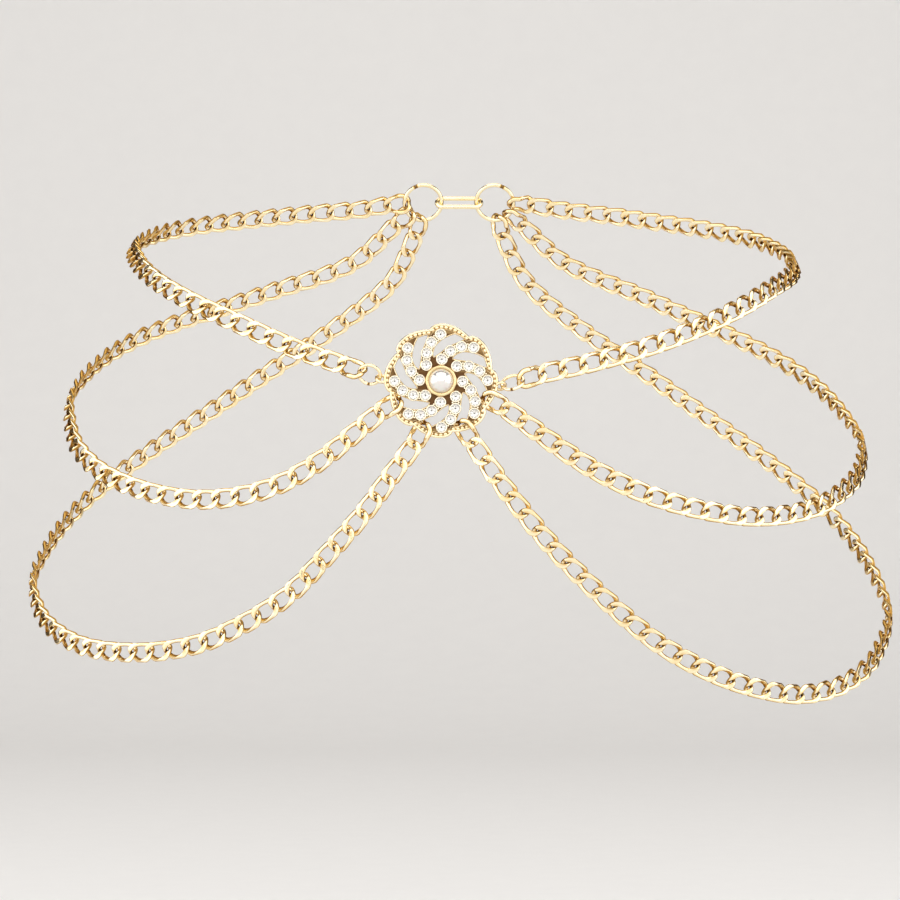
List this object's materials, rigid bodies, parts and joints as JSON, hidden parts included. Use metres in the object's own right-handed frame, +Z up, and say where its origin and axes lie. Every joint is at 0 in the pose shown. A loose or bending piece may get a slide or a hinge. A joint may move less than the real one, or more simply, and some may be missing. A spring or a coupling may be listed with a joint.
{
  "type": "waist chain",
  "caption": "Draped body chain in gold tone: curb chain strands fall from each side of a round pierced swirl medallion with a pearl and clear stones, and close behind the wearer.",
  "frame": {"origin": "middle of the waist opening, level with the top strand at the hips", "axes": "+Z up the wearer, the wearer's front faces -Y, +X to the viewer's right"},
  "size_m": [0.3388, 0.2071, 0.2054],
  "materials": {
    "chain_metal": "polished gold tone",
    "cast_metal": "cast, pale gold tone",
    "stone": "cut and clear, foiled behind",
    "pearl": "pearly"
  },
  "bodies": {
    "root": {"medallion": "cast_metal", "pearl": "pearl", "jump_ring_left": "chain_metal", "jump_ring_right": "chain_metal", "back_ring_left": "chain_metal", "back_ring_right": "chain_metal", "clasp": "chain_metal", "top_chain_left": "chain_metal", "top_chain_right": "chain_metal", "middle_chain_left": "chain_metal", "middle_chain_right": "chain_metal", "lower_chain_left": "chain_metal", "lower_chain_right": "chain_metal", "stone_1_1": "stone", "stone_1_2": "stone", "stone_1_3": "stone", "stone_1_4": "stone", "stone_2_1": "stone", "stone_2_2": "stone", "stone_2_3": "stone", "stone_2_4": "stone", "stone_3_1": "stone", "stone_3_2": "stone", "stone_3_3": "stone", "stone_3_4": "stone", "stone_4_1": "stone", "stone_4_2": "stone", "stone_4_3": "stone", "stone_4_4": "stone", "stone_5_1": "stone", "stone_5_2": "stone", "stone_5_3": "stone", "stone_5_4": "stone", "stone_6_1": "stone", "stone_6_2": "stone", "stone_6_3": "stone", "stone_6_4": "stone", "stone_7_1": "stone", "stone_7_2": "stone", "stone_7_3": "stone", "stone_7_4": "stone", "stone_8_1": "stone", "stone_8_2": "stone", "stone_8_3": "stone", "stone_8_4": "stone"}
  },
  "joints": []
}
